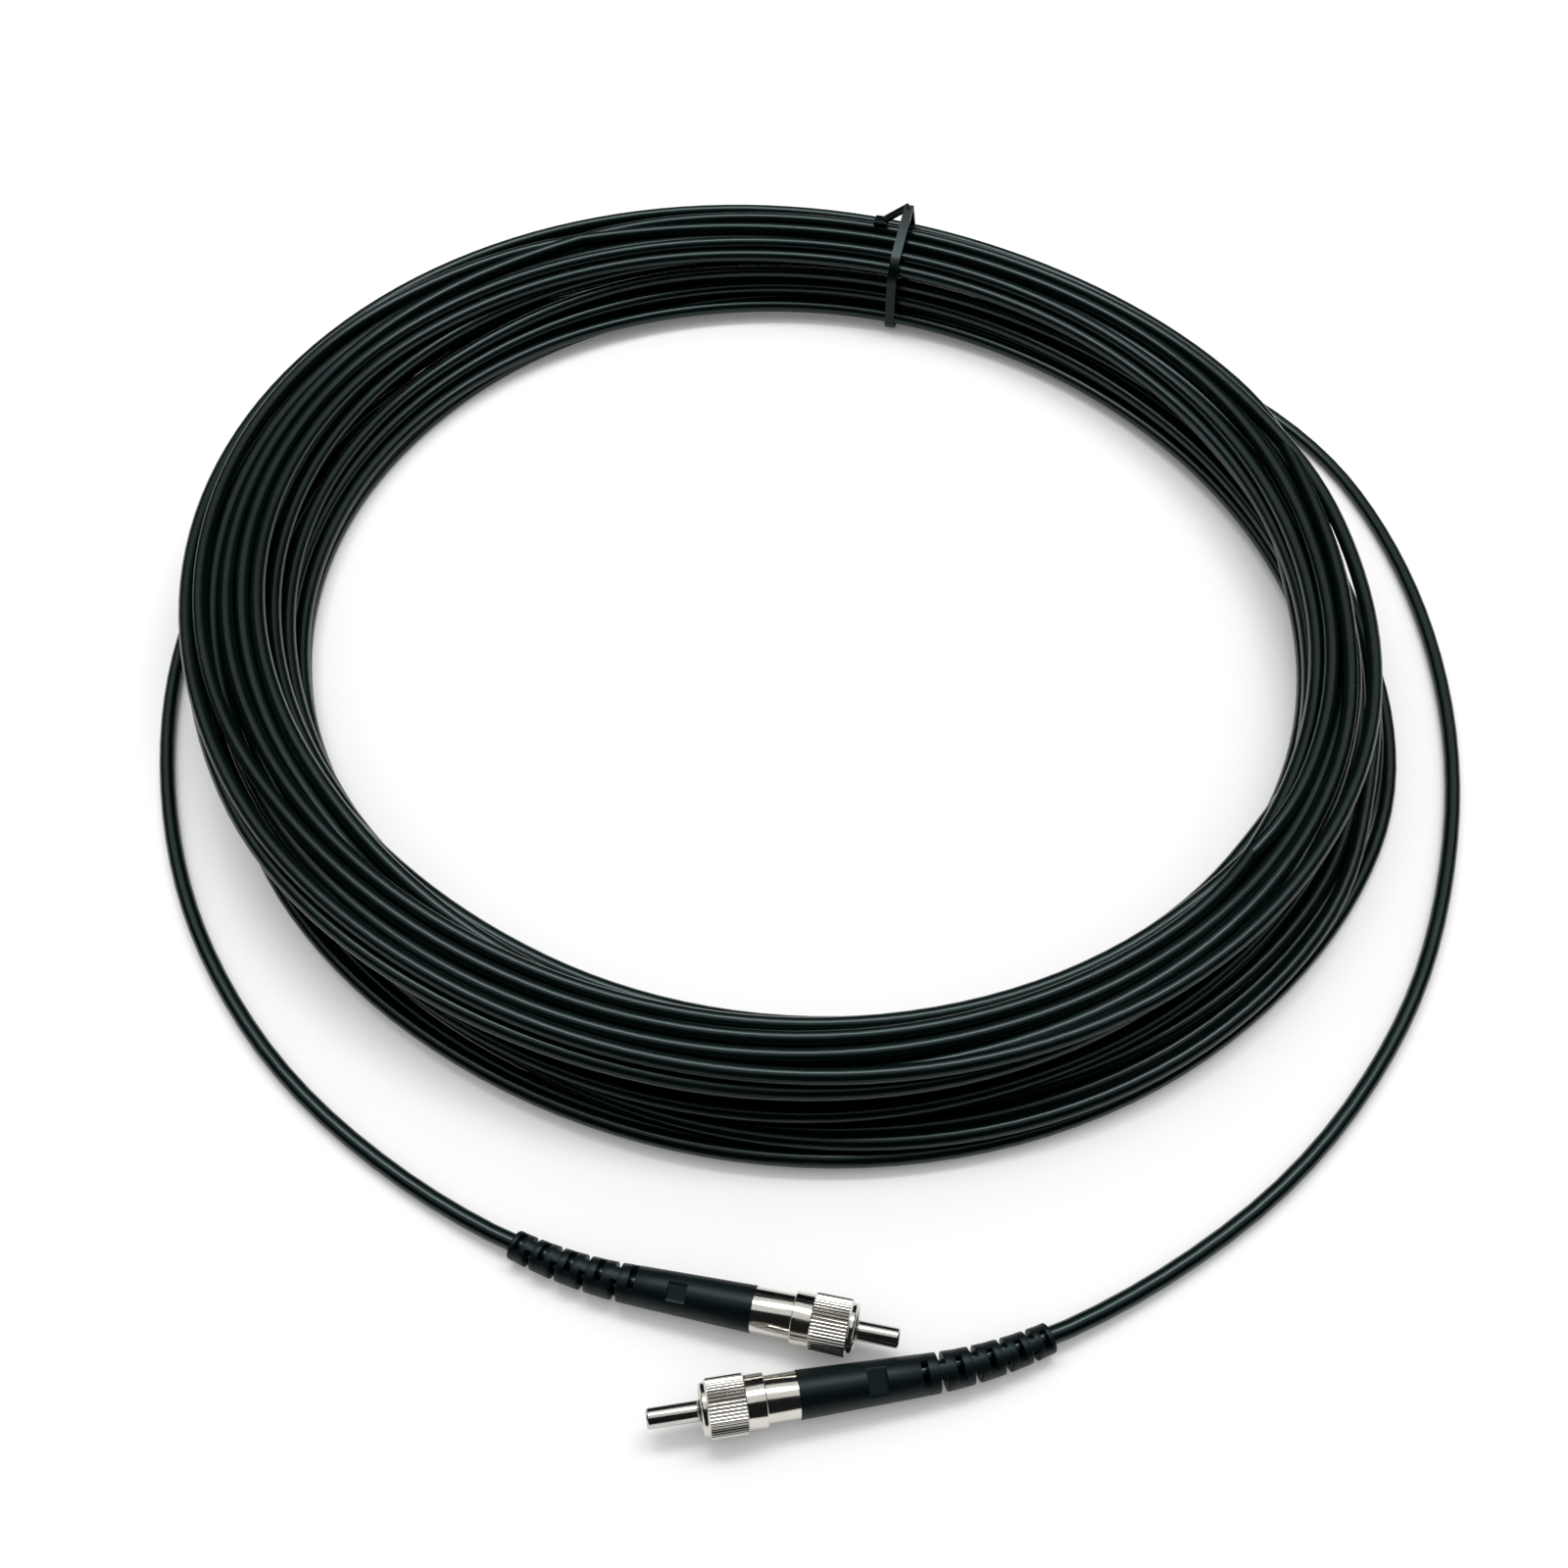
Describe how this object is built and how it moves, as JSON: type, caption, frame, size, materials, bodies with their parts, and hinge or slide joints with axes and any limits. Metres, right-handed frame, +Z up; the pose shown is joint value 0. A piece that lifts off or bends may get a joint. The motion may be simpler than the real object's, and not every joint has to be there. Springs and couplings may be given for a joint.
{
  "type": "sma fibre patch cord",
  "caption": "Coiled black fibre-optic patch cord with a knurled threaded ferrule connector and a slotted strain-relief boot on each end, held by a cable tie.",
  "frame": {"origin": "on the floor, under the middle of the whole laid-out cord", "axes": "+Z up from the floor, +Y from the connectors towards the tied side of the coil, +X to the right seen from the connectors"},
  "size_m": [0.2716, 0.3072, 0.026],
  "materials": {
    "stainless": "ground and polished",
    "silica": "polished",
    "buffer": "satin",
    "nickel": "bright nickel plate",
    "spring_steel": "plain",
    "crimp_brass": "plain",
    "boot_rubber": "matte moulded",
    "jacket": "satin extruded",
    "tie_nylon": "satin moulded"
  },
  "bodies": {
    "cord": {"ferrule_a": "stainless", "optical_fibre_a": "silica", "fibre_buffer_a": "buffer", "connector_body_a": "nickel", "crimp_sleeve_a": "crimp_brass", "boot_a": "boot_rubber", "tail_a": "jacket", "ferrule_b": "stainless", "optical_fibre_b": "silica", "fibre_buffer_b": "buffer", "connector_body_b": "nickel", "crimp_sleeve_b": "crimp_brass", "boot_b": "boot_rubber", "tail_b": "jacket", "coil": "jacket", "cable_tie": "tie_nylon"},
    "slider_a": {"retaining_ring_a": "spring_steel"},
    "nut_a": {"coupling_nut_a": "nickel"},
    "slider_b": {"retaining_ring_b": "spring_steel"},
    "nut_b": {"coupling_nut_b": "nickel"}
  },
  "joints": [
    {"name": "nut_slide_a", "type": "slide", "parent": "cord", "child": "slider_a", "axis": [-0.9853, -0.1666, 0.0384], "range_m": [-0.0004, 0.0024]},
    {"name": "nut_turn_a", "type": "hinge", "parent": "slider_a", "child": "nut_a", "pos_m": [-0.01772, -0.1493, 0.00487], "axis": [-0.9853, -0.1666, 0.0384], "continuous": true},
    {"name": "nut_slide_b", "type": "slide", "parent": "cord", "child": "slider_b", "axis": [0.976, -0.2146, 0.0384], "range_m": [-0.0018, 0.001]},
    {"name": "nut_turn_b", "type": "hinge", "parent": "slider_b", "child": "nut_b", "pos_m": [0.00647, -0.1368, 0.00487], "axis": [0.976, -0.2146, 0.0384], "continuous": true}
  ]
}
